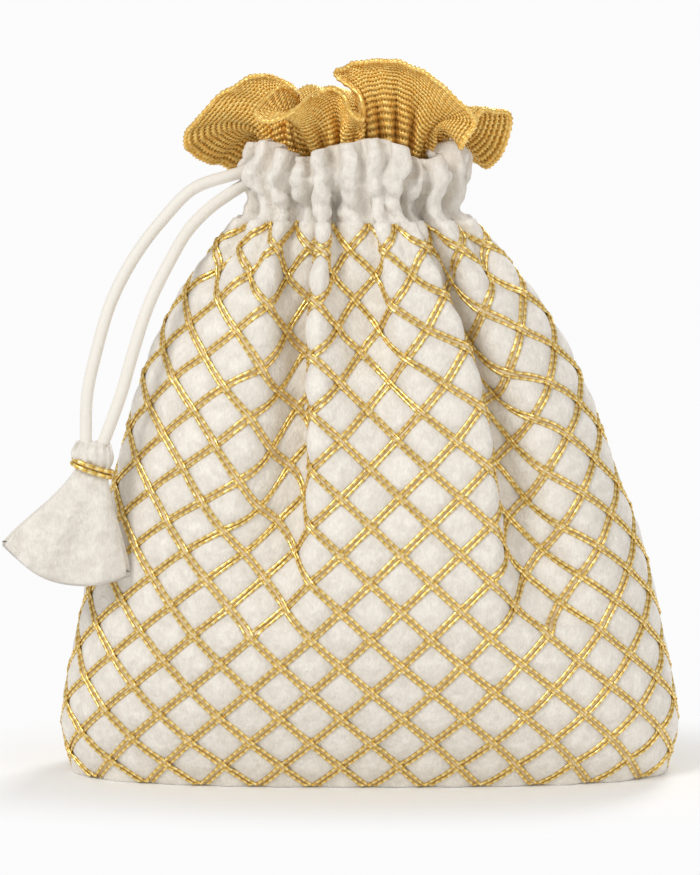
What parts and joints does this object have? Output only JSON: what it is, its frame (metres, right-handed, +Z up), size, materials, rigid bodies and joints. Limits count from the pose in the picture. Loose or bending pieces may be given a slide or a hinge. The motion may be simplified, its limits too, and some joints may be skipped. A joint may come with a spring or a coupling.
{
  "type": "potli drawstring pouch",
  "caption": "Gathered ivory velvet drawstring pouch with a diamond lattice of gold braid, a ruffled neck, a woven gold frill and a corded tassel; stands on its base.",
  "frame": {"origin": "centre of the pouch's flat base, on the surface it stands on, measured without the drawstring and its tassel", "axes": "+Z up through the neck; the front, which the picture shows, faces -Y; the drawstring hangs on the -X side"},
  "size_m": [0.2261, 0.0976, 0.2379],
  "materials": {
    "ivory_velvet": "cut pile velvet, ivory",
    "gold_braid": "couched metallic gold cords with a net ribbon between",
    "gold_weave": "open weave of flat metallic gold threads",
    "ivory_cord": "satin covered piping cord, ivory",
    "tassel_ivory_velvet": "cut pile velvet, ivory",
    "gold_thread": "metallic gold thread"
  },
  "bodies": {
    "root": {"velvet_body": "ivory_velvet", "gold_frill": "gold_weave", "drawstring_upper": "ivory_cord", "drawstring_lower": "ivory_cord", "tassel_velvet": "tassel_ivory_velvet", "tassel_tie": "gold_thread", "braid_right_01": "gold_braid", "braid_right_02": "gold_braid", "braid_right_03": "gold_braid", "braid_right_04": "gold_braid", "braid_right_05": "gold_braid", "braid_right_06": "gold_braid", "braid_right_07": "gold_braid", "braid_right_08": "gold_braid", "braid_right_09": "gold_braid", "braid_right_10": "gold_braid", "braid_right_11": "gold_braid", "braid_right_12": "gold_braid", "braid_right_13": "gold_braid", "braid_right_14": "gold_braid", "braid_right_15": "gold_braid", "braid_right_16": "gold_braid", "braid_right_17": "gold_braid", "braid_right_18": "gold_braid", "braid_right_19": "gold_braid", "braid_right_20": "gold_braid", "braid_right_21": "gold_braid", "braid_right_22": "gold_braid", "braid_right_23": "gold_braid", "braid_right_24": "gold_braid", "braid_left_01": "gold_braid", "braid_left_02": "gold_braid", "braid_left_03": "gold_braid", "braid_left_04": "gold_braid", "braid_left_05": "gold_braid", "braid_left_06": "gold_braid", "braid_left_07": "gold_braid", "braid_left_08": "gold_braid", "braid_left_09": "gold_braid", "braid_left_10": "gold_braid", "braid_left_11": "gold_braid", "braid_left_12": "gold_braid", "braid_left_13": "gold_braid", "braid_left_14": "gold_braid", "braid_left_15": "gold_braid", "braid_left_16": "gold_braid", "braid_left_17": "gold_braid", "braid_left_18": "gold_braid", "braid_left_19": "gold_braid", "braid_left_20": "gold_braid", "braid_left_21": "gold_braid", "braid_left_22": "gold_braid", "braid_left_23": "gold_braid", "braid_left_24": "gold_braid"}
  },
  "joints": []
}
